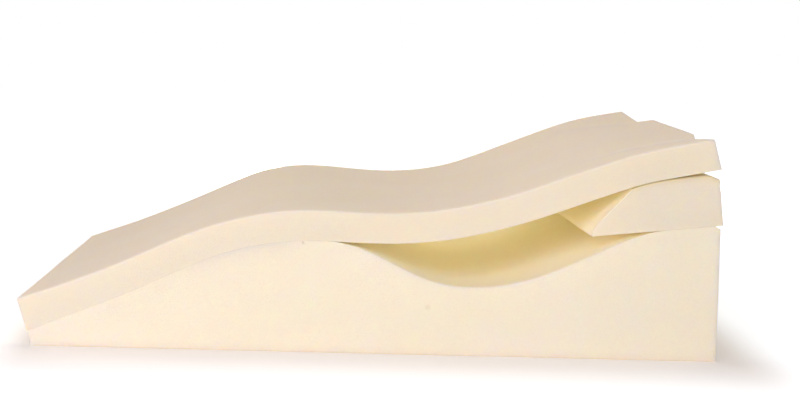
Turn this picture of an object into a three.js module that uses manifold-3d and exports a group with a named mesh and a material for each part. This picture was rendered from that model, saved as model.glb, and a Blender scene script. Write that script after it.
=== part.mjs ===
// A leg elevation pillow without its cover: three loose pieces of cut foam, in millimetres, +Z up.
// A contoured base wedge stands on the surface, a bevelled riser block lies on its high end, and one
// thick sheet lies over both in a long wave. X runs from the low end to the high end, and Y from the
// near side to the far side. The whole is centred over its footprint, with its underside at z = 0.
import Module from "manifold-3d";
import * as THREE from "three";
import { mergeVertices, toCreasedNormals } from "three/addons/utils/BufferGeometryUtils.js";

const WIDTH = 545; // base and sheet, from side to side
const REST_GAP = 0.35; // between pieces that lie on each other

// The sheet on the near side: the height of its top, how much higher the far side is, and how thick.
const SHEET_FOLDS = [
  { x: -25, top: 47.5, farLift: -2.0, thick: 37.5 },
  { x: 10, top: 60.1, farLift: -1.9, thick: 35.5 },
  { x: 53, top: 76.4, farLift: -2.5, thick: 34.0 },
  { x: 96, top: 94.7, farLift: -2.5, thick: 34.0 },
  { x: 139, top: 114.8, farLift: -3.2, thick: 33.8 },
  { x: 181, top: 132.7, farLift: -1.5, thick: 33.0 },
  { x: 224, top: 146.0, farLift: 3.1, thick: 32.8 },
  { x: 267, top: 154.7, farLift: 3.0, thick: 33.9 },
  { x: 310, top: 157.2, farLift: 1.8, thick: 33.8 },
  { x: 354, top: 156.0, farLift: 0.5, thick: 33.8 },
  { x: 397, top: 156.2, farLift: -1.5, thick: 33.8 },
  { x: 441, top: 160.5, farLift: -2.9, thick: 33.4 },
  { x: 484, top: 169.6, farLift: -3.4, thick: 33.4 },
  { x: 527, top: 182.1, farLift: -1.0, thick: 33.2 },
  { x: 570, top: 198.2, farLift: 0.7, thick: 33.9 },
  { x: 613, top: 213.9, farLift: 2.8, thick: 33.5 },
  { x: 656, top: 228.6, farLift: 3.7, thick: 33.4 },
  { x: 700, top: 239.1, farLift: 3.9, thick: 34.2 },
  { x: 755, top: 249.2, farLift: 2.5, thick: 33.6 },
];
const SHEET_START = -15; // the top edge of the low end
const SHEET_UNCUT = 752; // and of the high end, before it is cut
const SHEET_END = { x: 738.2, z: 246 }; // the cut's longest place, on the top
const CUT_LEAN = 0.28; // for each millimetre down, the cut runs out by this much

// The high end is cut unevenly: how far short of SHEET_END it stops across the width.
const END_CUT = [
  { y: 0, setBack: 0 },
  { y: 41, setBack: 13 },
  { y: 87, setBack: 4 },
  { y: 347, setBack: 0 },
  { y: 340, setBack: 21 },
  { y: WIDTH, setBack: 5 },
];

// The base's top: it follows the sheet up to the crest, then dips into a scoop. Where the sheet or
// the riser block lies on it, it is cut back to lie under them.
const BASE_CONTOUR = [
  { x: -5, top: 17.0 },
  { x: 53, top: 40.0 },
  { x: 96, top: 57.9 },
  { x: 139, top: 76.6 },
  { x: 181, top: 95.8 },
  { x: 224, top: 110.8 },
  { x: 267, top: 119.6 },
  { x: 310, top: 123.4 },
  { x: 333, top: 121.4 },
  { x: 355, top: 116.4 },
  { x: 377, top: 107.2 },
  { x: 399, top: 96.7 },
  { x: 421, top: 86.8 },
  { x: 443, top: 80.2 },
  { x: 465, top: 77.2 },
  { x: 487, top: 77.0 },
  { x: 509, top: 79.2 },
  { x: 531, top: 83.6 },
  { x: 553, top: 90.2 },
  { x: 596, top: 108.8 },
  { x: 639, top: 129.0 },
  { x: 661, top: 137.4 },
  { x: 683, top: 144.2 },
  { x: 742, top: 151.0 },
  { x: 750, top: 148.0 },
];
const BASE_START = -1.7; // the low end's top edge; its foot is at x = 0
const BASE_END = 749.5; // the high end's top edge
const BASE_FOOT = 752; // the high end leans out by this much at the floor
const LEVEL_FROM = 330; // from the crest, the base's far side comes down to the height of its near
const LEVEL_PAST = 420; // side, and from here on the two are level

// The riser block's section, in its own frame: along its flat foot, and up from it.
const RISER_WIDTH = 540;
const RISER_FOOT = 145;
const RISER_BACK = { along: 144, up: 51.4 };
const RISER_CROWN = [
  { along: 135.5, up: 55.9 },
  { along: 100, up: 56.3 },
  { along: 67, up: 54.0 },
  { along: 48, up: 49.2 },
];
const NOSE_TOP = { along: 4, up: 11 }; // the bevelled front comes down straight to here
const NOSE_BULGE = { along: 0, up: 7.5 }; // and is rounded below, towards this point
const RISER_CORNER = { x: 608, y: 0.5, z: 135.9 }; // where its near front corner is
const RISER_TILT = THREE.MathUtils.degToRad(6.2); // up towards the high end, on the base's slope
const RISER_SKEW = 0.028; // its far side lies nearer the low end, by this much of the width

const LENGTH_STEPS = 100;
const WIDTH_STEPS = 4;
const CURVE_STEPS = 12;
const CREASE = THREE.MathUtils.degToRad(30); // a sharper turn than this is an edge

// A smooth line through a table's rows: it gives one of their columns at any x.
function lineThrough(rows, column) {
  const line = new THREE.CubicInterpolant(rows.map((row) => row.x), rows.map((row) => row[column]), 1);
  return (x) => line.evaluate(x)[0];
}

const sheetTop = lineThrough(SHEET_FOLDS, "top");
const farLift = lineThrough(SHEET_FOLDS, "farLift");
const sheetThickness = lineThrough(SHEET_FOLDS, "thick");
const baseContour = lineThrough(BASE_CONTOUR, "top");

// A point of the sheet's underside, square below its top line at x.
function underside(x) {
  const reach = 2;
  const rise = sheetTop(x + reach) - sheetTop(x - reach);
  const down = new THREE.Vector2(rise, -2 * reach).setLength(sheetThickness(x));
  return new THREE.Vector2(x, sheetTop(x)).add(down);
}

// The height of the sheet's underside above x, found by stepping along its top line.
function undersideAbove(x) {
  const tries = 8;
  let above = x;
  for (let turn = 0; turn < tries; turn += 1) above += x - underside(above).x;
  return underside(above).y;
}

// The slope that the riser block's foot lies on, from its near front corner up.
function riserFootAbove(x) {
  const along = x - RISER_CORNER.x;
  return along < 0 ? Infinity : RISER_CORNER.z + along * Math.tan(RISER_TILT);
}

function baseTop(x) {
  return Math.min(baseContour(x), undersideAbove(x) - REST_GAP, riserFootAbove(x) - REST_GAP);
}

// A block with one section all along its width, the near side at y = 0.
function widthOf(section, width) {
  const block = new THREE.ExtrudeGeometry(section, {
    depth: width,
    steps: WIDTH_STEPS,
    curveSegments: CURVE_STEPS,
    bevelEnabled: false,
  });
  return block.rotateX(Math.PI / 2).translate(0, width, 0);
}

// The wave differs a little from the near side to the far side. A point rises with it in proportion to
// its height, by the share of the far side's lift that the piece has there.
function liftFarSide(block, shareAt) {
  const points = block.getAttribute("position");
  for (let i = 0; i < points.count; i += 1) {
    const [x, y, z] = [points.getX(i), points.getY(i), points.getZ(i)];
    const lift = (shareAt(x) * farLift(x) * y) / WIDTH;
    points.setZ(i, z * (1 + lift / sheetTop(x)));
  }
  return block;
}

function foamPiece(name, block) {
  const foam = new THREE.MeshStandardMaterial({ name: "foam", color: 0xf7e4cb, roughness: 0.95, metalness: 0 });
  const piece = new THREE.Mesh(toCreasedNormals(block, CREASE), foam);
  piece.name = name;
  return piece;
}

// Evenly spaced places from one x to another, both ends among them.
function placesAlong(from, to) {
  return Array.from({ length: LENGTH_STEPS + 1 }, (_, i) => THREE.MathUtils.lerp(from, to, i / LENGTH_STEPS));
}

function makeBase() {
  const foot = [new THREE.Vector2(0, 0), new THREE.Vector2(BASE_FOOT, 0)];
  const top = placesAlong(BASE_END, BASE_START).map((x) => new THREE.Vector2(x, baseTop(x)));
  const block = widthOf(new THREE.Shape([...foot, ...top]), WIDTH);
  liftFarSide(block, (x) => 1 - THREE.MathUtils.smoothstep(x, LEVEL_FROM, LEVEL_PAST));
  return foamPiece("base_wedge", block);
}

function makeSheet() {
  const top = placesAlong(SHEET_UNCUT, SHEET_START).map((x) => new THREE.Vector2(x, sheetTop(x)));
  const lower = placesAlong(SHEET_START, SHEET_UNCUT).map((x) => underside(x));
  const uncut = widthOf(new THREE.Shape([...lower, ...top]), WIDTH);
  const block = fromSolid(toSolid(uncut).intersect(toSolid(makeEndCut())));
  liftFarSide(block, () => 1);
  return foamPiece("top_sheet", block);
}

// What the cut leaves of the sheet: its outline seen from above, taken through the foam at a lean.
function makeEndCut() {
  const beyond = 120; // clear of the sheet, also where the lean moves it
  const outline = new THREE.Shape();
  outline.moveTo(SHEET_START - beyond, WIDTH + beyond);
  outline.lineTo(SHEET_START - beyond, -beyond);
  outline.lineTo(SHEET_END.x, -beyond);
  for (const { y, setBack } of END_CUT) outline.lineTo(SHEET_END.x - setBack, y);
  outline.lineTo(SHEET_END.x, WIDTH + beyond);
  const block = new THREE.ExtrudeGeometry(outline, { depth: SHEET_END.z + 2 * beyond, bevelEnabled: false });
  block.translate(0, 0, -SHEET_END.z - beyond);
  block.applyMatrix4(new THREE.Matrix4().makeShear(0, 0, 0, 0, -CUT_LEAN, 0));
  return block.translate(0, 0, SHEET_END.z);
}

function toSolid(block) {
  const bare = new THREE.BufferGeometry().setAttribute("position", block.getAttribute("position"));
  const merged = mergeVertices(bare);
  const vertProperties = merged.getAttribute("position").array;
  const triVerts = Uint32Array.from(merged.getIndex().array);
  return new wasm.Manifold(new wasm.Mesh({ numProp: 3, vertProperties, triVerts }));
}

function fromSolid(solid) {
  const { vertProperties, triVerts } = solid.getMesh();
  const block = new THREE.BufferGeometry();
  block.setAttribute("position", new THREE.BufferAttribute(vertProperties, 3));
  return block.setIndex(new THREE.BufferAttribute(triVerts, 1));
}

function makeRiser() {
  const [crownEnd, ...crown] = RISER_CROWN.map((point) => new THREE.Vector2(point.along, point.up));
  const section = new THREE.Shape();
  section.moveTo(0, 0);
  section.lineTo(RISER_FOOT, 0);
  section.lineTo(RISER_BACK.along, RISER_BACK.up);
  section.lineTo(crownEnd.x, crownEnd.y);
  section.splineThru(crown);
  section.lineTo(NOSE_TOP.along, NOSE_TOP.up);
  section.quadraticCurveTo(NOSE_BULGE.along, NOSE_BULGE.up, 0, 0);
  const block = widthOf(section, RISER_WIDTH);
  block.applyMatrix4(new THREE.Matrix4().makeShear(0, 0, -RISER_SKEW, 0, 0, 0));
  block.rotateY(-RISER_TILT);
  block.translate(RISER_CORNER.x, RISER_CORNER.y, RISER_CORNER.z);
  return foamPiece("riser_block", block);
}

const wasm = await Module();
wasm.setup();

const pieces = new THREE.Group();
pieces.add(makeBase(), makeRiser(), makeSheet());

const pillow = new THREE.Group();
pillow.add(pieces);
const middle = new THREE.Box3().setFromObject(pieces, true).getCenter(new THREE.Vector3());
pieces.position.set(-middle.x, -middle.y, 0);

export default pillow;
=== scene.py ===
# A leg elevation pillow without its cover: a contoured base wedge, a bevelled riser block that lies on
# its high end, and one thick sheet that lies over both. All three are bare cut foam.
# Lengths are in metres. Pieces are made from the base's low near corner, with X along the pillow to its
# high end, Y across it to the far side and Z up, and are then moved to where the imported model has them.
import math

import bpy
import numpy as np
from mathutils import Matrix, Vector
from mathutils.bvhtree import BVHTree


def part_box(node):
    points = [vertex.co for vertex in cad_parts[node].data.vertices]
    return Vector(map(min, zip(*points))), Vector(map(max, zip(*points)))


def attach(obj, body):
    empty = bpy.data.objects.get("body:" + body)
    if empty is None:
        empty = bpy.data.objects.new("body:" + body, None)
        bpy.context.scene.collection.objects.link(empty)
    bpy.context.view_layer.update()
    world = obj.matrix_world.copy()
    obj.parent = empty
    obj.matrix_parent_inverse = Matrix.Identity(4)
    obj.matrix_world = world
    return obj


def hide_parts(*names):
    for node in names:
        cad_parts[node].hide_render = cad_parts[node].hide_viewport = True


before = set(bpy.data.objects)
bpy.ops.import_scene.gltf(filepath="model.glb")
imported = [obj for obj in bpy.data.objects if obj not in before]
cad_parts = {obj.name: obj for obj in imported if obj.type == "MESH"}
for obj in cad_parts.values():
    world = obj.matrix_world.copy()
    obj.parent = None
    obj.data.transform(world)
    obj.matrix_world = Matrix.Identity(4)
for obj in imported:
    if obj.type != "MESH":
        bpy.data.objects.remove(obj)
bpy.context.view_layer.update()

NODES = ("base_wedge", "riser_block", "top_sheet")
WIDTH = 0.545  # base and sheet, from side to side

# The base: its foot runs from 0 to BASE_FOOT, and its top edge from BASE_START to BASE_END.
BASE_FOOT = 0.752
BASE_START = -0.0017
BASE_END = 0.7495
CHAMFER_START = 0.744  # its high end's top edge is cut off from here
CHAMFER_DROP = 0.0032

# The sheet: its top edge starts at SHEET_START. The high end is cut at a lean, and unevenly: how far it
# stops short of SHEET_END_X across the width, with a step near STEP_AT.
SHEET_START = -0.015
SHEET_END_X = 0.7382
SHEET_END_Z = 0.246
CUT_LEAN = 0.28
CUT_NEAR_PART = ((0.0, 0.0), (0.041, 0.013), (0.087, 0.004), (0.344, 0.0))  # across, set back
CUT_FAR_PART = ((0.344, 0.021), (0.545, 0.005))
STEP_AT = 0.344
STEP_WIDTH = 0.004
CUT_REACH = 0.13  # share of the sheet's length that is drawn in to meet the cut

# The riser block in its own frame, as (along its foot, up from it).
RISER_WIDTH = 0.540
RISER_FOOT = ((0.0, 0.0), (0.145, 0.0))
RISER_BEVEL = ((0.0, 0.0), (0.0009, 0.0048), (0.0044, 0.0110), (0.048, 0.0492))
RISER_CROWN = (
    (0.048, 0.0492),
    (0.067, 0.0540),
    (0.100, 0.0563),
    (0.134, 0.0561),
    (0.1355, 0.0559),
    (0.137, 0.0551),
    (0.144, 0.0514),
)
RISER_BACK = ((0.145, 0.0), (0.144, 0.0514))
RISER_CORNER = (0.608, 0.0005, 0.1359)
RISER_TILT = math.radians(6.2)
RISER_SKEW = 0.028  # its far side lies nearer the low end, by this much of the width
CROWN_SHADE_DEPTH = 0.003  # its sides take a golden painted shade along the crown, under the sheet's overhang, and less over this depth

# The camera that the photograph was taken with, as fitted to the foam's edges.
PHOTO_WIDTH = 800
PHOTO_HEIGHT = 412
CAMERA_PLACE = (0.32066, -1.72433, 0.35345)
CAMERA_AZIMUTH = math.radians(-2.530)
CAMERA_DROP = math.radians(6.278)
CAMERA_ROLL = math.radians(-1.885)
FOCAL_PIXELS = 1600
SENSOR = 36.0  # millimetres, the width of it
CAMERA_REACH = 50.0

base_low, base_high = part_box("base_wedge")
CORNER = Vector((base_low.x - BASE_START, base_low.y, 0.0))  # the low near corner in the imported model


# Making meshes


def smooth_step(low, high, value):
    share = np.clip((value - low) / (high - low), 0.0, 1.0)
    return share * share * (3.0 - 2.0 * share)


def blend_between(start, end, share):
    return start + (end - start) * share


def corner_places(radius):
    """Places round a cut edge that is eased to a small radius, as distances from the sharp corner."""
    turns = np.radians([45.0, 30.0, 15.0, 0.0])
    return radius * (1.0 - np.tan(turns))


SOFT_ROWS = (0.0009, 0.0018, 0.0030)  # where a long edge is rounded softly, as distances from it


def lattice_places(middle, radius, soft_rows=()):
    """Rows of (share, offset) for one direction. A place is share * (size - 2 * radius) + offset."""
    beside = 4.0 * radius  # one more row beside the corner keeps its shading narrow
    corner = np.concatenate([corner_places(radius), [beside], soft_rows])
    low = [(0.0, offset) for offset in corner]
    high = [(1.0, 2.0 * radius - offset) for offset in corner[::-1]]
    return np.array(low + [(share, radius) for share in middle] + high)


def even_shares(count):
    return np.arange(1, count) / count


def lattice_shell(counts):
    """The outer nodes of a block of lattice, and the four-sided faces between them, facing outwards."""
    index = np.arange(np.prod(counts)).reshape(counts)

    def faces_of(side, outwards):
        corners = (side[:-1, :-1], side[1:, :-1], side[1:, 1:], side[:-1, 1:])
        order = corners if outwards else corners[::-1]
        return np.stack([corner.ravel() for corner in order], axis=1)

    faces = np.concatenate(
        [
            faces_of(index[:, :, 0], False),
            faces_of(index[:, :, -1], True),
            faces_of(index[:, 0, :], True),
            faces_of(index[:, -1, :], False),
            faces_of(index[0, :, :], False),
            faces_of(index[-1, :, :], True),
        ]
    )
    used, renumbered = np.unique(faces, return_inverse=True)
    nodes = np.stack(np.unravel_index(used, counts), axis=1)
    return nodes, renumbered.reshape(-1, 4)


def cut_block(places, size_at, radius):
    """A flat block of foam with eased edges. size_at gives its size at each (along, across) share."""
    nodes, faces = lattice_shell([len(rows) for rows in places])
    shares = np.stack([places[side][nodes[:, side], 0] for side in range(3)], axis=1)
    offsets = np.stack([places[side][nodes[:, side], 1] for side in range(3)], axis=1)
    sizes = size_at(shares, offsets)
    flat = shares * (sizes - 2.0 * radius) + offsets
    from_edge = np.sort(np.minimum(flat, sizes - flat), axis=1)[:, 1]
    inner = np.clip(flat, radius, sizes - radius)
    outwards = flat - inner
    eased = inner + outwards * radius / np.linalg.norm(outwards, axis=1, keepdims=True)
    return eased, sizes, faces, from_edge


TINY = 1e-9  # keeps a division from meeting zero


def with_soft_edges(points, sizes, reach):
    """The same points with the block's two long top edges rounded, to a reach that may differ along it."""
    from_side = np.minimum(points[:, 1], sizes[:, 1] - points[:, 1])
    from_top = sizes[:, 2] - points[:, 2]
    in_side = np.maximum(reach - from_side, 0.0)
    in_top = np.maximum(reach - from_top, 0.0)
    drawn_in = np.minimum(reach / np.maximum(np.hypot(in_side, in_top), TINY), 1.0)
    corner = (in_side > 0.0) & (in_top > 0.0)
    moved_side = np.where(corner, in_side * (1.0 - drawn_in), 0.0)
    softened = points.copy()
    softened[:, 1] += np.where(points[:, 1] < sizes[:, 1] / 2, moved_side, -moved_side)
    softened[:, 2] -= np.where(corner, in_top * (1.0 - drawn_in), 0.0)
    return softened


WAVES = 14
WAVE_SPREAD = (0.6, 1.5)  # how many times as close together as the wavelength says they may run


def wander(points, wavelength, seed):
    """A smooth unevenness of about one, the same each run: waves that cross in many directions."""
    chance = np.random.default_rng(seed)
    total = np.zeros(len(points))
    for _ in range(WAVES):
        heading = chance.normal(size=3)
        heading *= 2.0 * math.pi / (wavelength * np.linalg.norm(heading)) * chance.uniform(*WAVE_SPREAD)
        total += np.sin(points @ heading + chance.uniform(0.0, 2.0 * math.pi))
    return total * math.sqrt(2.0 / WAVES)


FOAM_SWAY = 0.00015  # how far the foam's shape strays from the drawn one
SWAY_LENGTH = 0.13
SWAY_CLEAR_OF_FLOOR = 0.03  # it grows from nothing at the floor to all of it here
SWAY_SEED = 40


def sway(points):
    """Foam is never cut quite true. The space that all pieces lie in strays a little, so that pieces
    which lie on each other still do, and the foot stays flat on the floor."""
    free = smooth_step(0.0, SWAY_CLEAR_OF_FLOOR, points[:, 2])
    strayed = points.copy()
    for axis in range(3):
        strayed[:, axis] += FOAM_SWAY * free * wander(points, SWAY_LENGTH, SWAY_SEED + axis)
    return strayed


SETTLED = 0.00028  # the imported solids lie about 0.35 mm apart, and the foam sinks by this to close up
EDGE_FADE = 0.005  # the painted glow along a cut edge is gone this far from it
SIDE_FACE = 0.0019  # this near to the side faces, the foam counts as on them and takes their painted shade


def gap_to_others(node, points):
    """How far each point of a piece is from the nearest of the other pieces."""
    trees = [solid_tree(other) for other in NODES if other != node]
    return [min(tree.find_nearest(point)[3] for tree in trees) for point in points.tolist()]


def add_attribute(mesh, name, values):
    """One number for each point of a mesh, which the material reads by its name."""
    attribute = mesh.attributes.new(name, "FLOAT", "POINT")
    attribute.data.foreach_set("value", values)


def make_piece(node, points, faces, from_edge, marks, material):
    """A finished piece. marks says how much of its material's painted shade shows at each point."""
    name = "foam_" + node
    mesh = bpy.data.meshes.new(name)
    moved = sway(points) + np.array(CORNER)
    mesh.from_pydata(moved.tolist(), [], faces.tolist())
    mesh.polygons.foreach_set("use_smooth", [True] * len(faces))
    from_side = np.minimum(points[:, 1] - points[:, 1].min(), points[:, 1].max() - points[:, 1])
    # near_edge carries the painted glow along the cut edges
    add_attribute(mesh, "near_edge", 1.0 - smooth_step(0.0, EDGE_FADE, from_edge))
    # painted shade: along the base's seam, along the riser's crown and in the sheet's furrow
    add_attribute(mesh, "painted_shade", marks)
    # side_cut is where the side faces' painted shade goes
    add_attribute(mesh, "side_cut", (from_side < SIDE_FACE).astype(float))
    add_attribute(mesh, "joint_gap", gap_to_others(node, moved))
    mesh.materials.append(material)
    mesh.update()
    piece = bpy.data.objects.new(name, mesh)
    bpy.context.scene.collection.objects.link(piece)
    return piece


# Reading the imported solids


def solid_tree(node):
    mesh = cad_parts[node].data
    corners = [vertex.co for vertex in mesh.vertices]
    return BVHTree.FromPolygons(corners, [tuple(face.vertices) for face in mesh.polygons])


READ_STEP = 0.001  # from one reading of a height to the next
READ_INSET = 0.0004  # the lines that are read lie this far inside the side faces
EASE_SPREAD = 0.006  # how widely the readings are averaged
EASE_REACH = 4  # the average takes in this many spreads to each side
SLOPE_STEPS = 4  # past its ends, a line goes on at the slope of its last few readings
LOW_END_CLEAR = 0.001  # readings of the base and of the sheet's underside start here
TOP_CLEAR_OF_CUT = 0.024  # readings of the sheet's top stop this far short of its cut end
UNDER_CLEAR_OF_CUT = 0.016  # and those of its underside this far, as the cut leans outwards


def eased_line(node, across, start, end, upwards):
    """The height of a solid's top or underside along one line of it, as a function of x. The solid's
    facets are eased away."""
    tree = solid_tree(node)
    places = np.arange(start, end + READ_STEP / 2, READ_STEP)
    heading = Vector((0.0, 0.0, 1.0 if upwards else -1.0))
    heights = []
    for x in places:
        origin = Vector((x, across, 0.0)) + CORNER - heading
        hit = tree.ray_cast(origin, heading)[0]
        heights.append(hit.z)
    reach = int(EASE_REACH * EASE_SPREAD / READ_STEP)
    heights = np.array(heights)
    first_rise = heights[reach] - heights[0]
    last_rise = heights[-1] - heights[-1 - reach]
    before = heights[0] - first_rise * np.arange(reach, 0, -1) / reach
    after = heights[-1] + last_rise * np.arange(1, reach + 1) / reach
    padded = np.concatenate([before, heights, after])
    window = np.exp(-0.5 * (np.arange(-reach, reach + 1) * READ_STEP / EASE_SPREAD) ** 2)
    eased = np.convolve(padded, window / window.sum(), mode="valid")

    def height(x):
        low_slope = (eased[SLOPE_STEPS] - eased[0]) / (SLOPE_STEPS * READ_STEP)
        high_slope = (eased[-1] - eased[-1 - SLOPE_STEPS]) / (SLOPE_STEPS * READ_STEP)
        inside = np.interp(x, places, eased)
        below = np.minimum(x - places[0], 0.0) * low_slope
        beyond = np.maximum(x - places[-1], 0.0) * high_slope
        return inside + below + beyond

    return height


def eased_surface(node, start, end, upwards=False):
    """The height of a solid's top or underside at any (x, y)."""
    near = eased_line(node, READ_INSET, start, end, upwards)
    far = eased_line(node, WIDTH - READ_INSET, start, end, upwards)
    return lambda x, y: blend_between(near(x), far(x), y / WIDTH)


def sheet_top():
    return eased_surface("top_sheet", SHEET_START + READ_STEP, SHEET_END_X - TOP_CLEAR_OF_CUT)


def sheet_under():
    return eased_surface("top_sheet", LOW_END_CLEAR, SHEET_END_X - UNDER_CLEAR_OF_CUT, upwards=True)


# The base wedge

BASE_ROWS = (190, 130, 30)  # along, across and up
LAST_ROW_UP = 0.98  # one more row of its side faces, just under the top
CHAMFER_CLEAR = 0.003  # readings of its top stop this far short of the chamfer
EDGE_RADIUS = 0.00006  # every cut edge is eased by this
SOFT_REACH = 0.0028  # and a long top edge is rounded softly to this far from it
HAIRLINE = 0.00005  # what is left open between the sheet and the base under it
SHEET_LEAVES = (0.318, 0.342)  # there the sheet leaves the base, and the scoop begins
SEAM_SHADE_START = (0.10, 0.22)  # a painted shade greys the base's sides along the seam, under the sheet's edge, from here to there
SEAM_SHADE_END = (0.26, 0.31)
SEAM_SHADE_DEPTH = 0.009  # and less so over this depth
SCOOP_START = (0.335, 0.375)  # the scoop's long edges are rounded softly from here to there
SCOOP_END = (0.615, 0.650)


def make_base(material):
    along_rows, across_rows, up_rows = BASE_ROWS
    uncut_top = eased_surface("base_wedge", LOW_END_CLEAR, CHAMFER_START - CHAMFER_CLEAR)
    chamfer_share = (CHAMFER_START - BASE_START) / (BASE_END - BASE_START)
    along_shares = even_shares(along_rows)
    nearest = np.abs(along_shares - chamfer_share).argmin()
    along_shares[nearest] = chamfer_share

    lying_on_it = sheet_under()

    def top(x, y):
        cut_off = np.maximum(x - CHAMFER_START, 0.0) / (BASE_END - CHAMFER_START)
        own = uncut_top(x, y) - CHAMFER_DROP * cut_off
        gap = np.maximum(lying_on_it(x, y) - SETTLED - HAIRLINE - own, 0.0)
        return own + gap * (1.0 - smooth_step(*SHEET_LEAVES, x))

    places = [
        lattice_places(along_shares, EDGE_RADIUS),
        lattice_places(even_shares(across_rows), EDGE_RADIUS, SOFT_ROWS),
        lattice_places(np.append(even_shares(up_rows), LAST_ROW_UP), EDGE_RADIUS),
    ]

    def size_at(shares, offsets):
        along = (shares[:, 0] * (BASE_FOOT - 2 * EDGE_RADIUS) + offsets[:, 0]) / BASE_FOOT
        across = shares[:, 1] * (WIDTH - 2 * EDGE_RADIUS) + offsets[:, 1]
        height = top(blend_between(BASE_START, BASE_END, along), across)
        return np.stack([np.full_like(height, BASE_FOOT), np.full_like(height, WIDTH), height], axis=1)

    flat, sizes, faces, from_edge = cut_block(places, size_at, EDGE_RADIUS)
    along = flat[:, 0] / BASE_FOOT
    in_scoop = smooth_step(*SCOOP_START, flat[:, 0]) * (1.0 - smooth_step(*SCOOP_END, flat[:, 0]))
    flat = with_soft_edges(flat, sizes, SOFT_REACH * in_scoop)
    rise = flat[:, 2] / sizes[:, 2]
    points = flat.copy()
    points[:, 0] = blend_between(BASE_FOOT * along, blend_between(BASE_START, BASE_END, along), rise)
    along_seam = smooth_step(*SEAM_SHADE_START, flat[:, 0])
    along_seam *= 1.0 - smooth_step(*SEAM_SHADE_END, flat[:, 0])
    seam_shade = along_seam * np.exp(-(sizes[:, 2] - flat[:, 2]) / SEAM_SHADE_DEPTH)
    return make_piece("base_wedge", points, faces, from_edge, seam_shade, material)


# The sheet

SHEET_LENGTH = 0.800  # roughly, along its wave: it only spaces the rows
SHEET_ROWS = (190, 130, 10)  # along, across and up
STEP_ROWS = 5  # across the step in its cut end
CUT_ROUNDS = 6  # the leaning cut's place and the height there are worked out in turns
UNDER_SHIFT = 0.012  # about how far along the underside's point lies that is square below the top's
ON_RISER = (0.40, 0.60)  # from here to there it comes to lie on the riser, which has settled too
FURROW = ((0.716, 0.047), (0.668, 0.064), (0.615, 0.079))  # a shallow furrow in its top, seen from above
FURROW_HALF_WIDTH = 0.010
FURROW_DEPTH = 0.0018
FURROW_FADES = 0.5  # this share of its depth is gone at its end
FAINT_LINE = ((0.715, 0.340), (0.678, 0.400), (0.651, 0.441))  # the far side of it lies slightly lower
FAINT_LINE_DROP = 0.0009
FAINT_LINE_WIDTH = 0.009
FAINT_LINE_FADE = 0.07
# the share of the furrow's painted shade that lies beyond the faint line
FAINT_LINE_SHADE = 0.5


def cut_set_back(y):
    near = np.interp(y, *np.transpose(CUT_NEAR_PART))
    far = np.interp(y, *np.transpose(CUT_FAR_PART))
    return blend_between(near, far, smooth_step(STEP_AT - STEP_WIDTH / 2, STEP_AT + STEP_WIDTH / 2, y))


def distance_from_path(x, y, path):
    """How far each place is from a path, the share of the path nearest to it, and which side it is on."""
    nearest = np.full(len(x), np.inf)
    share = np.zeros(len(x))
    side = np.zeros(len(x))
    stretches = len(path) - 1
    for number, (start, end) in enumerate(zip(path, path[1:])):
        run = np.subtract(end, start)
        away = np.stack([x - start[0], y - start[1]], axis=1)
        reached = np.clip(away @ run / (run @ run), 0.0, 1.0)
        gap = away - reached[:, None] * run
        distance = np.linalg.norm(gap, axis=1)
        closer = distance < nearest
        nearest = np.where(closer, distance, nearest)
        share = np.where(closer, (number + reached) / stretches, share)
        side = np.where(closer, np.sign(run[0] * away[:, 1] - run[1] * away[:, 0]), side)
    return nearest, share, side


def top_marks(x, y):
    """How much lower the sheet's top lies at each place for its furrow and for its faint line, and how
    much painted shade it takes there."""
    distance, share, _ = distance_from_path(x, y, FURROW)
    in_furrow = np.exp(-((distance / FURROW_HALF_WIDTH) ** 2)) * (1.0 - FURROW_FADES * share)
    distance, _, side = distance_from_path(x, y, FAINT_LINE)
    beyond = smooth_step(-FAINT_LINE_WIDTH / 2, FAINT_LINE_WIDTH / 2, side * distance)
    beyond *= 1.0 - smooth_step(0.0, FAINT_LINE_FADE, distance)
    furrow_shade = np.maximum(in_furrow, FAINT_LINE_SHADE * beyond)
    return FURROW_DEPTH * in_furrow, FAINT_LINE_DROP * beyond, furrow_shade


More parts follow.
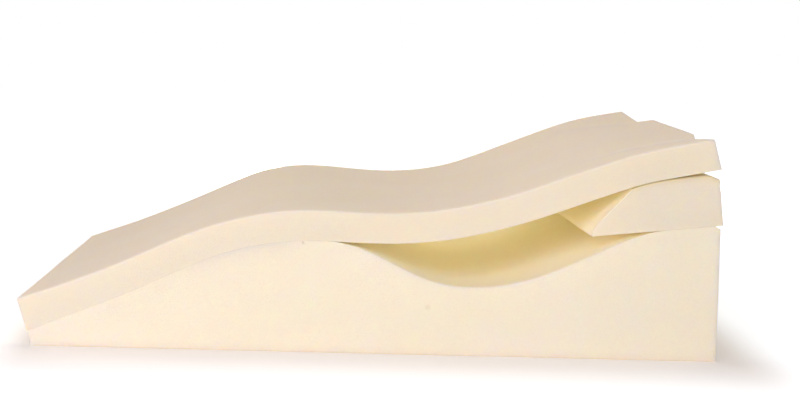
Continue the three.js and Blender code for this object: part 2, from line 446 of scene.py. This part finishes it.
def make_sheet(material):
    along_rows, across_rows, up_rows = SHEET_ROWS
    top = sheet_top()
    under = sheet_under()
    step_shares = (STEP_AT + np.linspace(-0.5, 0.5, STEP_ROWS) * STEP_WIDTH) / WIDTH
    across_shares = even_shares(across_rows)
    apart = np.abs(across_shares[:, None] - step_shares).min(axis=1) > STEP_WIDTH / WIDTH / 2
    across_shares = np.sort(np.concatenate([across_shares[apart], step_shares]))
    places = [
        lattice_places(even_shares(along_rows), EDGE_RADIUS),
        lattice_places(across_shares, EDGE_RADIUS, SOFT_ROWS),
        lattice_places(even_shares(up_rows), EDGE_RADIUS, SOFT_ROWS),
    ]

    def square_below(x, y):
        """The x of the underside's point that is square below the top's point at x."""
        reach = 0.002
        slope = np.arctan((top(x + reach, y) - top(x - reach, y)) / (2 * reach))
        depth = (top(x, y) - under(x + UNDER_SHIFT, y)) * np.cos(slope)
        return x + depth * np.sin(slope)

    def lines(along, y):
        """The points of the top and of the underside that face each other, at a share of the length."""
        plain_x = blend_between(SHEET_START, SHEET_END_X, along)
        cut_top_x = np.full_like(y, SHEET_END_X)
        cut_under_x = np.full_like(y, SHEET_END_X)
        cut_x = SHEET_END_X - cut_set_back(y)
        for _ in range(CUT_ROUNDS):
            cut_top_x = cut_x + CUT_LEAN * (SHEET_END_Z - top(cut_top_x, y))
            cut_under_x = cut_x + CUT_LEAN * (SHEET_END_Z - under(cut_under_x, y))
        drawn_in = smooth_step(1.0 - CUT_REACH, 1.0, along)
        top_x = plain_x + (cut_top_x - SHEET_END_X) * drawn_in
        plain_end = np.full_like(y, SHEET_END_X)
        under_x = square_below(plain_x, y) + (cut_under_x - square_below(plain_end, y)) * drawn_in
        return top_x, top(top_x, y), under_x, under(under_x, y)

    def size_at(shares, offsets):
        along = (shares[:, 0] * (SHEET_LENGTH - 2 * EDGE_RADIUS) + offsets[:, 0]) / SHEET_LENGTH
        across = shares[:, 1] * (WIDTH - 2 * EDGE_RADIUS) + offsets[:, 1]
        top_x, top_z, under_x, under_z = lines(along, across)
        thick = np.hypot(top_x - under_x, top_z - under_z)
        return np.stack([np.full_like(thick, SHEET_LENGTH), np.full_like(thick, WIDTH), thick], axis=1)

    flat, sizes, faces, from_edge = cut_block(places, size_at, EDGE_RADIUS)
    flat = with_soft_edges(flat, sizes, np.full(len(flat), SOFT_REACH))
    along = flat[:, 0] / SHEET_LENGTH
    y = flat[:, 1]
    top_x, top_z, under_x, under_z = lines(along, y)
    rise = flat[:, 2] / sizes[:, 2]
    x = blend_between(under_x, top_x, rise)
    furrow, faint_line, furrow_shade = top_marks(x, y)
    z = blend_between(under_z, top_z, rise) - rise * (furrow + faint_line)
    z -= SETTLED * (1.0 + smooth_step(*ON_RISER, x))
    points = np.stack([x, y, z], axis=1)
    return make_piece("top_sheet", points, faces, from_edge, rise * furrow_shade, material)


# The riser block


def along_path(path, share):
    """Points at a share of the length of a path through the rows of a table."""
    rows = np.array(path)
    lengths = np.concatenate([[0.0], np.cumsum(np.linalg.norm(np.diff(rows, axis=0), axis=1))])
    reached = share * lengths[-1]
    return np.stack([np.interp(reached, lengths, rows[:, column]) for column in range(2)], axis=1)


def smooth_path(rows, rounds=4):
    """The same path with its corners cut off again and again, so that it bends smoothly."""
    path = np.array(rows)
    for _ in range(rounds):
        quarter = blend_between(path[:-1], path[1:], 0.25)
        three_quarters = blend_between(path[:-1], path[1:], 0.75)
        inner = np.stack([quarter, three_quarters], axis=1).reshape(-1, 2)
        path = np.concatenate([path[:1], inner[1:-1], path[-1:]])
    return path


RISER_LENGTH = 0.118  # roughly, and so is its height: they only space the rows
RISER_HEIGHT = 0.060
RISER_ROWS = (42, 130, 18)  # along, across and up


def make_riser(material):
    along_rows, across_rows, up_rows = RISER_ROWS
    places = [
        lattice_places(even_shares(along_rows), EDGE_RADIUS),
        lattice_places(even_shares(across_rows), EDGE_RADIUS, SOFT_ROWS),
        lattice_places(even_shares(up_rows), EDGE_RADIUS, SOFT_ROWS),
    ]
    size = np.array([RISER_LENGTH, RISER_WIDTH, RISER_HEIGHT])
    flat, sizes, faces, from_edge = cut_block(
        places, lambda shares, _: np.tile(size, (len(shares), 1)), EDGE_RADIUS
    )
    flat = with_soft_edges(flat, sizes, np.full(len(flat), SOFT_REACH))
    along = flat[:, 0] / RISER_LENGTH
    rise = flat[:, 2] / RISER_HEIGHT
    foot = along_path(RISER_FOOT, along)
    crown = along_path(smooth_path(RISER_CROWN), along)
    bevel = along_path(smooth_path(RISER_BEVEL), rise)
    back = along_path(smooth_path(RISER_BACK), rise)
    foot_ends = np.array(RISER_FOOT)
    crown_ends = np.array([RISER_CROWN[0], RISER_CROWN[-1]])
    part = along[:, None]
    up = rise[:, None]
    corners = blend_between(
        blend_between(foot_ends[0], foot_ends[1], part), blend_between(crown_ends[0], crown_ends[1], part), up
    )
    section = blend_between(foot, crown, up) + blend_between(bevel, back, part) - corners
    own = np.stack([section[:, 0] - RISER_SKEW * flat[:, 1], flat[:, 1], section[:, 1]], axis=1)
    tilt = Matrix.Rotation(-RISER_TILT, 3, "Y")
    points = own @ np.array(tilt).T + np.array(RISER_CORNER)
    points[:, 2] -= SETTLED
    on_side = np.minimum(flat[:, 1], RISER_WIDTH - flat[:, 1]) < SIDE_FACE
    crown_shade = on_side * np.exp(-(RISER_HEIGHT - flat[:, 2]) / CROWN_SHADE_DEPTH)
    return make_piece("riser_block", points, faces, from_edge, crown_shade, material)


# Materials


def new_group(name, inputs, outputs):
    """An empty shader node group. Inputs are (name, socket type, value) and outputs (name, type)."""
    tree = bpy.data.node_groups.new(name, "ShaderNodeTree")
    for socket_name, kind, value in inputs:
        socket = tree.interface.new_socket(socket_name, in_out="INPUT", socket_type=kind)
        if value is not None:
            socket.default_value = value
    for socket_name, kind in outputs:
        tree.interface.new_socket(socket_name, in_out="OUTPUT", socket_type=kind)
    start = tree.nodes.new("NodeGroupInput")
    end = tree.nodes.new("NodeGroupOutput")
    return tree, start.outputs, end.inputs


def add_node(tree, kind, values=None, **settings):
    """A node with its settings, and its input sockets set to a value or linked from another socket."""
    node = tree.nodes.new(kind)
    for key, setting in settings.items():
        setattr(node, key, setting)
    for key, value in (values or {}).items():
        if isinstance(value, bpy.types.NodeSocket):
            tree.links.new(value, node.inputs[key])
        else:
            node.inputs[key].default_value = value
    return node


def maths(tree, operation, first, second=0.0):
    return add_node(tree, "ShaderNodeMath", {0: first, 1: second}, operation=operation).outputs[0]


def ramp(tree, value, low, high, to_low=0.0, to_high=1.0):
    values = {"Value": value, "From Min": low, "From Max": high, "To Min": to_low, "To Max": to_high}
    return add_node(tree, "ShaderNodeMapRange", values, interpolation_type="SMOOTHSTEP").outputs["Result"]


FOAM_CELL = 0.0009  # one open cell of the foam
LARGE_CELLS = 0.31  # the scale of its few larger cells, as a share of the small ones'
SMALL_MOUTH = (0.34, 0.08)  # a cell's mouth darkens from this share of the cell to that
LARGE_MOUTH = (0.16, 0.07)
CUT_STRETCH = (0.04, 1.0, 1.0)  # a blade mark is 25 times as long as wide
FLAT_OF_PIT = 0.2  # the share of a pit's radius that is its flat bottom


def foam_cells_group():
    """Open cells: their dark mouths, and the height of the surface between them."""
    tree, given, put = new_group(
        "foam cells",
        [("Vector", "NodeSocketVector", None), ("Cell Size", "NodeSocketFloat", FOAM_CELL)],
        [("Mouths", "NodeSocketFloat"), ("Height", "NodeSocketFloat")],
    )
    scale = maths(tree, "DIVIDE", 1.0, given["Cell Size"])
    cells = add_node(
        tree, "ShaderNodeTexVoronoi", {"Vector": given["Vector"], "Scale": scale, "Randomness": 1.0},
        feature="SMOOTH_F1",
    )
    coarse_scale = maths(tree, "MULTIPLY", scale, LARGE_CELLS)
    coarse = add_node(
        tree, "ShaderNodeTexVoronoi", {"Vector": given["Vector"], "Scale": coarse_scale}, feature="F1"
    )
    fine_mouths = ramp(tree, cells.outputs["Distance"], *SMALL_MOUTH)
    large_mouths = ramp(tree, coarse.outputs["Distance"], *LARGE_MOUTH)
    mouths = maths(tree, "MAXIMUM", fine_mouths, large_mouths)
    tree.links.new(mouths, put["Mouths"])
    tree.links.new(maths(tree, "SUBTRACT", 1.0, mouths), put["Height"])
    return tree


def cut_marks_group():
    """The height of the faint lines that the blade left, which run along the piece's X."""
    tree, given, put = new_group(
        "cut marks",
        [("Vector", "NodeSocketVector", None), ("Spacing", "NodeSocketFloat", 0.006)],
        [("Marks", "NodeSocketFloat")],
    )
    scale = maths(tree, "DIVIDE", 1.0, given["Spacing"])
    stretched = add_node(tree, "ShaderNodeMapping", {"Vector": given["Vector"], "Scale": CUT_STRETCH})
    lines = add_node(
        tree, "ShaderNodeTexNoise",
        {"Vector": stretched.outputs["Vector"], "Scale": scale, "Detail": 2.0, "Roughness": 0.5},
    )
    tree.links.new(lines.outputs["Fac"], put["Marks"])
    return tree


def soft_mottle_group():
    """Broad soft differences in tone, as in a foam that has yellowed a little here and there."""
    tree, given, put = new_group(
        "soft mottle",
        [("Vector", "NodeSocketVector", None), ("Size", "NodeSocketFloat", 0.12)],
        [("Tone", "NodeSocketFloat")],
    )
    scale = maths(tree, "DIVIDE", 1.0, given["Size"])
    values = {"Vector": given["Vector"], "Scale": scale, "Detail": 3.0, "Roughness": 0.55}
    broad = add_node(tree, "ShaderNodeTexNoise", values)
    tree.links.new(broad.outputs["Fac"], put["Tone"])
    return tree


def small_pit_group():
    """One small pit in the surface: how deep in it each place is."""
    tree, given, put = new_group(
        "small pit",
        [
            ("Vector", "NodeSocketVector", None),
            ("Centre", "NodeSocketVector", None),
            ("Radius", "NodeSocketFloat", 0.003),
        ],
        [("Depth", "NodeSocketFloat")],
    )
    gap = add_node(
        tree, "ShaderNodeVectorMath", {0: given["Vector"], 1: given["Centre"]}, operation="DISTANCE"
    ).outputs["Value"]
    share = maths(tree, "DIVIDE", gap, given["Radius"])
    tree.links.new(ramp(tree, share, 1.0, FLAT_OF_PIT), put["Depth"])
    return tree


def mixed(tree, factor, first, second, blend="MIX"):
    node = add_node(
        tree, "ShaderNodeMix", {"Factor": factor, 6: first, 7: second}, data_type="RGBA", blend_type=blend
    )
    return node.outputs[2]


def add_group(tree, group, **values):
    node = tree.nodes.new("ShaderNodeGroup")
    node.node_tree = group
    for key, value in values.items():
        socket = node.inputs[key.replace("_", " ")]
        if isinstance(value, bpy.types.NodeSocket):
            tree.links.new(value, socket)
        else:
            socket.default_value = value
    return node.outputs


cells_group = foam_cells_group()
marks_group = cut_marks_group()
mottle_group = soft_mottle_group()
pit_group = small_pit_group()


CREAM = (0.975, 0.945, 0.790, 1.0)
EDGE_GLOW = (0.990, 0.955, 0.820, 1.0)  # a painted glow along a cut edge, where light shines through the thin foam
WARM = (0.970, 0.932, 0.750, 1.0)  # where the foam has yellowed a little
WHITE = (1.0, 1.0, 1.0, 1.0)
SIDE_PAINTED_SHADE = (0.88, 0.90, 0.92, 1.0)  # painted shade on the side faces of the riser and the sheet, darker than their tops
FURROW_PAINTED_SHADE = (0.930, 0.908, 0.815, 1.0)  # painted shade in the sheet's furrow and beyond its faint line, where the dented top faces away from the light
SEAM_SHADE = (0.800, 0.810, 0.730, 1.0)  # painted shade along the base's seam
CROWN_SHADE = (0.780, 0.710, 0.450, 1.0)  # painted shade along the riser's crown, under the sheet's overhang
# painted shade in the small pits
PIT_SHADE = (0.50, 0.39, 0.25, 1.0)
PIT_SHADE_SHARE = 0.12  # how much of the painted shade in a pit shows
MOUTH_TINT = (0.86, 0.80, 0.72)  # a cell's mouth, against the foam round it
MOUTH_SHARE = 0.45
EDGE_GLOW_SHARE = 0.05
MOTTLE_SIZE = 0.14
MOTTLE_RANGE = (0.3, 0.7)  # from plain cream to all warm
CUT_SPACING = 0.005  # from one blade mark to the next
CELL_HEIGHT = 0.00025
BUMP_STRENGTH = 0.8
ROUGHNESS = (0.90, 1.0)  # of the foam, and in its cells' mouths
GLOSS = 0.05
LIGHT_REACH = 0.016  # how far light goes into the foam
LIGHT_REACH_SHARES = (1.0, 0.80, 0.48)  # of its red, green and blue
JOINT_LIGHT_REACH = 0.0004  # beside a joint, where more would be lost into the gap
JOINT_TOUCH = 0.0005  # this near to another piece the foam is beside a joint
JOINT_FADE = 0.014  # and this far off it no longer is


def make_foam(name, side, painted_shade, cut_depth, mottle_place, pits=()):
    """Bare cream foam: cells, blade marks and soft mottling, with a painted glow along its cut edges. side
    is the painted shade on its side faces, and painted_shade is the colour of the painted shade its marks lay
    on."""
    material = bpy.data.materials.new(name)
    material.use_nodes = True
    tree = material.node_tree
    tree.nodes.clear()
    own_place = add_node(tree, "ShaderNodeTexCoord").outputs["Object"]
    cells = add_group(tree, cells_group, Vector=own_place, Cell_Size=FOAM_CELL)
    marks = add_group(tree, marks_group, Vector=own_place, Spacing=CUT_SPACING)
    moved = add_node(tree, "ShaderNodeMapping", {"Vector": own_place, "Location": mottle_place})
    mottle = add_group(tree, mottle_group, Vector=moved.outputs["Vector"], Size=MOTTLE_SIZE)
    edge = add_node(tree, "ShaderNodeAttribute", attribute_name="near_edge", attribute_type="GEOMETRY")
    shade_attribute = add_node(tree, "ShaderNodeAttribute", attribute_name="painted_shade", attribute_type="GEOMETRY")
    side_cut = add_node(tree, "ShaderNodeAttribute", attribute_name="side_cut", attribute_type="GEOMETRY")
    joint = add_node(tree, "ShaderNodeAttribute", attribute_name="joint_gap", attribute_type="GEOMETRY")
    from_joint = joint.outputs["Fac"]
    light_reach = ramp(tree, from_joint, JOINT_TOUCH, JOINT_FADE, JOINT_LIGHT_REACH, LIGHT_REACH)
    tone = ramp(tree, mottle["Tone"], *MOTTLE_RANGE)
    colour = mixed(tree, tone, CREAM, WARM)
    # painted shade on the side faces, where side_cut is set
    side_shaded = mixed(tree, 1.0, colour, side, blend="MULTIPLY")
    colour = mixed(tree, side_cut.outputs["Fac"], colour, side_shaded)
    # painted glow along the cut edges
    colour = mixed(tree, maths(tree, "MULTIPLY", edge.outputs["Fac"], EDGE_GLOW_SHARE), colour, EDGE_GLOW)
    # painted shade along the base's seam, along the riser's crown and in the sheet's furrow
    colour = mixed(tree, shade_attribute.outputs["Fac"], colour, painted_shade)
    mouth_colour = (*(part * tint for part, tint in zip(CREAM, MOUTH_TINT)), 1.0)
    colour = mixed(tree, maths(tree, "MULTIPLY", cells["Mouths"], MOUTH_SHARE), colour, mouth_colour)
    height = maths(tree, "MULTIPLY", cells["Height"], CELL_HEIGHT)
    height = maths(tree, "ADD", height, maths(tree, "MULTIPLY", marks["Marks"], cut_depth))
    for centre, radius, deep in pits:
        pit = add_group(tree, pit_group, Vector=own_place, Centre=centre, Radius=radius)
        # painted shade in the pit
        colour = mixed(tree, maths(tree, "MULTIPLY", pit["Depth"], PIT_SHADE_SHARE), colour, PIT_SHADE)
        height = maths(tree, "SUBTRACT", height, maths(tree, "MULTIPLY", pit["Depth"], deep))
    bump = add_node(tree, "ShaderNodeBump", {"Height": height, "Strength": BUMP_STRENGTH, "Distance": 1.0})
    roughness = ramp(tree, cells["Mouths"], 0.0, 1.0, *ROUGHNESS)
    values = {
        "Base Color": colour,
        "Roughness": roughness,
        "Normal": bump.outputs["Normal"],
        "Specular IOR Level": GLOSS,
        "Subsurface Weight": 1.0,
        "Subsurface Radius": LIGHT_REACH_SHARES,
        "Subsurface Scale": light_reach,
    }
    shader = add_node(tree, "ShaderNodeBsdfPrincipled", values)
    add_node(tree, "ShaderNodeOutputMaterial", {"Surface": shader.outputs["BSDF"]})
    return material


# The camera


def camera_axes():
    """The camera's right, up and backward directions."""
    level = math.cos(CAMERA_DROP)
    east = -math.sin(CAMERA_AZIMUTH) * level
    north = math.cos(CAMERA_AZIMUTH) * level
    forward = Vector((east, north, -math.sin(CAMERA_DROP)))
    level_right = forward.cross(Vector((0.0, 0.0, 1.0))).normalized()
    level_down = forward.cross(level_right)
    right = math.cos(CAMERA_ROLL) * level_right + math.sin(CAMERA_ROLL) * level_down
    down = math.cos(CAMERA_ROLL) * level_down - math.sin(CAMERA_ROLL) * level_right
    return right, -down, -forward


def make_camera():
    right, up, back = camera_axes()
    data = bpy.data.cameras.new("photo_camera")
    data.sensor_width = SENSOR
    data.lens = SENSOR * FOCAL_PIXELS / PHOTO_WIDTH
    data.clip_end = CAMERA_REACH
    camera = bpy.data.objects.new("photo_camera", data)
    turned = Matrix((right, up, back)).transposed().to_4x4()
    camera.matrix_world = Matrix.Translation(Vector(CAMERA_PLACE) + CORNER) @ turned
    bpy.context.scene.collection.objects.link(camera)
    bpy.context.scene.camera = camera


def on_near_face(pixel):
    """The place on the pillow's near face that the camera sees at a pixel."""
    right, up, back = camera_axes()
    ray = right * (pixel[0] - PHOTO_WIDTH / 2) - up * (pixel[1] - PHOTO_HEIGHT / 2) - back * FOCAL_PIXELS
    place = Vector(CAMERA_PLACE)
    return place + ray * (-place.y / ray.y) + CORNER


# Floor, world and lights

ROOM_LIGHT = (1.0, 0.817, 0.746, 1.0)
ROOM_STRENGTH = 0.312  # on the foam; in the picture itself the room is plain white
FLOOR_COLOUR = (0.86, 0.86, 0.86, 1.0)
FLOOR_ROUGHNESS = 0.9
FLOOR_GLOW = (0.125, 0.114, 0.090, 1.0)  # what it adds to the light on the foam
UNDER_GLOW = (0.14, 0.10, 0.05, 1.0)  # and what it adds close to the pillow's foot
NEAR_GLOW_SEEN = (0.44, 0.52, 0.58, 1.0)  # what makes it white in the picture, near the pillow
FAR_GLOW_SEEN = (0.95, 0.97, 1.0, 1.0)  # and far away
FOOT_SHADE = (0.37, 0.34, 0.31, 1.0)  # how much of that is left at the pillow's foot, as a painted shadow
FOOT_SHADE_REACH = 0.20  # to the front and back; to the sides it is drawn in
SIDES_DRAWN_IN = 2.6
SHADE_TO_RIGHT = 0.016  # there is a little more of it at the high end
UNDER_GLOW_REACH = 0.01  # this far from the foot, UNDER_GLOW has passed into FLOOR_GLOW
FAR_REACH = 1.3
FLOOR_HALF = 6.0
FLOOR_DROP = 0.0003


def distance_from_foot(tree):
    """How far each place on the floor is from the rectangle that the base stands on."""
    place = add_node(tree, "ShaderNodeTexCoord").outputs["Object"]
    middle = (base_low + base_high) / 2
    half = (base_high - base_low) / 2
    steps = (
        ("SUBTRACT", (middle.x + SHADE_TO_RIGHT, middle.y, 0.0)),
        ("ABSOLUTE", None),
        ("SUBTRACT", (half.x, half.y, 1.0)),
        ("MAXIMUM", (0.0, 0.0, 0.0)),
        ("MULTIPLY", (SIDES_DRAWN_IN, 1.0, 1.0)),
    )
    for operation, amount in steps:
        values = {0: place} if amount is None else {0: place, 1: amount}
        place = add_node(tree, "ShaderNodeVectorMath", values, operation=operation).outputs["Vector"]
    return add_node(tree, "ShaderNodeVectorMath", {0: place}, operation="LENGTH").outputs["Value"]


def make_floor():
    mesh = bpy.data.meshes.new("floor")
    corners = [(-FLOOR_HALF, -FLOOR_HALF), (FLOOR_HALF, -FLOOR_HALF), (FLOOR_HALF, FLOOR_HALF)]
    corners.append((-FLOOR_HALF, FLOOR_HALF))
    mesh.from_pydata([(x, y, -FLOOR_DROP) for x, y in corners], [], [(0, 1, 2, 3)])
    floor = bpy.data.objects.new("floor", mesh)
    bpy.context.scene.collection.objects.link(floor)
    material = bpy.data.materials.new("white_floor")
    material.use_nodes = True
    tree = material.node_tree
    tree.nodes.clear()
    seen = add_node(tree, "ShaderNodeLightPath").outputs["Is Camera Ray"]
    distance = distance_from_foot(tree)
    far_from_foot = ramp(tree, distance, 0.0, FOOT_SHADE_REACH)
    shade = mixed(tree, far_from_foot, FOOT_SHADE, WHITE)
    far_away = ramp(tree, distance, FOOT_SHADE_REACH, FAR_REACH)
    unshaded = mixed(tree, far_away, NEAR_GLOW_SEEN, FAR_GLOW_SEEN)
    seen_glow = mixed(tree, 1.0, unshaded, shade, blend="MULTIPLY")
    clear_of_foot = ramp(tree, distance, 0.0, UNDER_GLOW_REACH)
    felt_glow = mixed(tree, clear_of_foot, UNDER_GLOW, FLOOR_GLOW)
    glow = mixed(tree, seen, felt_glow, seen_glow)
    values = {
        "Base Color": FLOOR_COLOUR,
        "Roughness": FLOOR_ROUGHNESS,
        "Specular IOR Level": 0.0,
        "Emission Color": glow,
        "Emission Strength": 1.0,
    }
    shader = add_node(tree, "ShaderNodeBsdfPrincipled", values)
    add_node(tree, "ShaderNodeOutputMaterial", {"Surface": shader.outputs["BSDF"]})
    mesh.materials.append(material)


def make_world():
    world = bpy.data.worlds.new("white_room")
    world.use_nodes = True
    tree = world.node_tree
    tree.nodes.clear()
    seen = add_node(tree, "ShaderNodeLightPath").outputs["Is Camera Ray"]
    strength = add_node(tree, "ShaderNodeMapRange", {"Value": seen, "To Min": ROOM_STRENGTH, "To Max": 1.0})
    colour = mixed(tree, seen, ROOM_LIGHT, WHITE)
    back = add_node(tree, "ShaderNodeBackground", {"Color": colour, "Strength": strength.outputs["Result"]})
    add_node(tree, "ShaderNodeOutputWorld", {"Surface": back.outputs["Background"]})
    bpy.context.scene.world = world


def make_area_light(name, place, target, size, power, colour, spread=math.pi):
    data = bpy.data.lights.new(name, "AREA")
    data.shape = "RECTANGLE"
    data.size, data.size_y = size
    data.energy = power
    data.color = colour
    data.spread = spread
    light = bpy.data.objects.new(name, data)
    light.location = place
    light.rotation_euler = (Vector(target) - Vector(place)).to_track_quat("-Z", "Y").to_euler()
    light.visible_camera = False
    bpy.context.scene.collection.objects.link(light)


# The scene

DIMPLE_PIXEL = (428, 307)
NICK_PIXEL = (304, 242)
PILLOW_MIDDLE = (0.1, 0.0, 0.10)
COOL_WHITE = (0.97, 0.95, 1.0)

base_foam = make_foam(
    "base_foam",
    side=WHITE,
    painted_shade=SEAM_SHADE,
    cut_depth=0.00022,
    mottle_place=(0.3, 0.1, 0.0),
    pits=(  # the middle, radius and depth of each
        (on_near_face(DIMPLE_PIXEL), 0.0045, 0.0006),
        (on_near_face(NICK_PIXEL), 0.0030, 0.0008),
    ),
)
riser_foam = make_foam(
    "riser_foam",
    side=SIDE_PAINTED_SHADE,
    painted_shade=CROWN_SHADE,
    cut_depth=0.00026,
    mottle_place=(0.7, 0.4, 0.2),
)
sheet_foam = make_foam(
    "sheet_foam",
    side=SIDE_PAINTED_SHADE,
    painted_shade=FURROW_PAINTED_SHADE,
    cut_depth=0.00020,
    mottle_place=(0.1, 0.8, 0.5),
)

for piece, node in (
    (make_base(base_foam), "base_wedge"),
    (make_riser(riser_foam), "riser_block"),
    (make_sheet(sheet_foam), "top_sheet"),
):
    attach(piece, "root")
    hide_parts(node)

make_camera()
make_world()
make_floor()
make_area_light(
    "front_left", place=(-1.4, -1.8, 0.34), target=(-0.2, -0.2, 0.12), size=(1.3, 0.6),
    power=15.4, colour=(0.98, 0.77, 0.85),
)
make_area_light(
    "front_high", place=(0.1, -2.05, 1.5), target=PILLOW_MIDDLE, size=(2.0, 0.5),
    power=5.3, colour=COOL_WHITE,
)
make_area_light(
    "front_middle", place=(0.1, -2.2, 0.95), target=PILLOW_MIDDLE, size=(2.0, 0.5),
    power=11.2, colour=COOL_WHITE,
)
make_area_light(
    "behind", place=(0.3, 2.0, 0.13), target=(0.12, 0.2, 0.11), size=(1.8, 0.24),
    power=17.5, colour=(1.0, 0.937, 0.813),
)
# A small narrow light in front of the scoop's far opening makes the scoop glow.
make_area_light(
    "through", place=(0.11, 0.295, 0.112), target=(0.11, 0.0, 0.108), size=(0.24, 0.034),
    power=0.046, colour=(1.0, 0.950, 0.790), spread=math.radians(38.0),
)
make_area_light(
    "ceiling", place=(-0.2, 0.6, 2.4), target=PILLOW_MIDDLE, size=(1.6, 1.6),
    power=18.6, colour=(1.0, 0.82, 0.62),
)

bpy.context.scene.view_settings.view_transform = "Standard"
bpy.context.scene.cycles.max_bounces = 24
bpy.context.scene.cycles.diffuse_bounces = 20  # light goes back and forth many times between pale walls
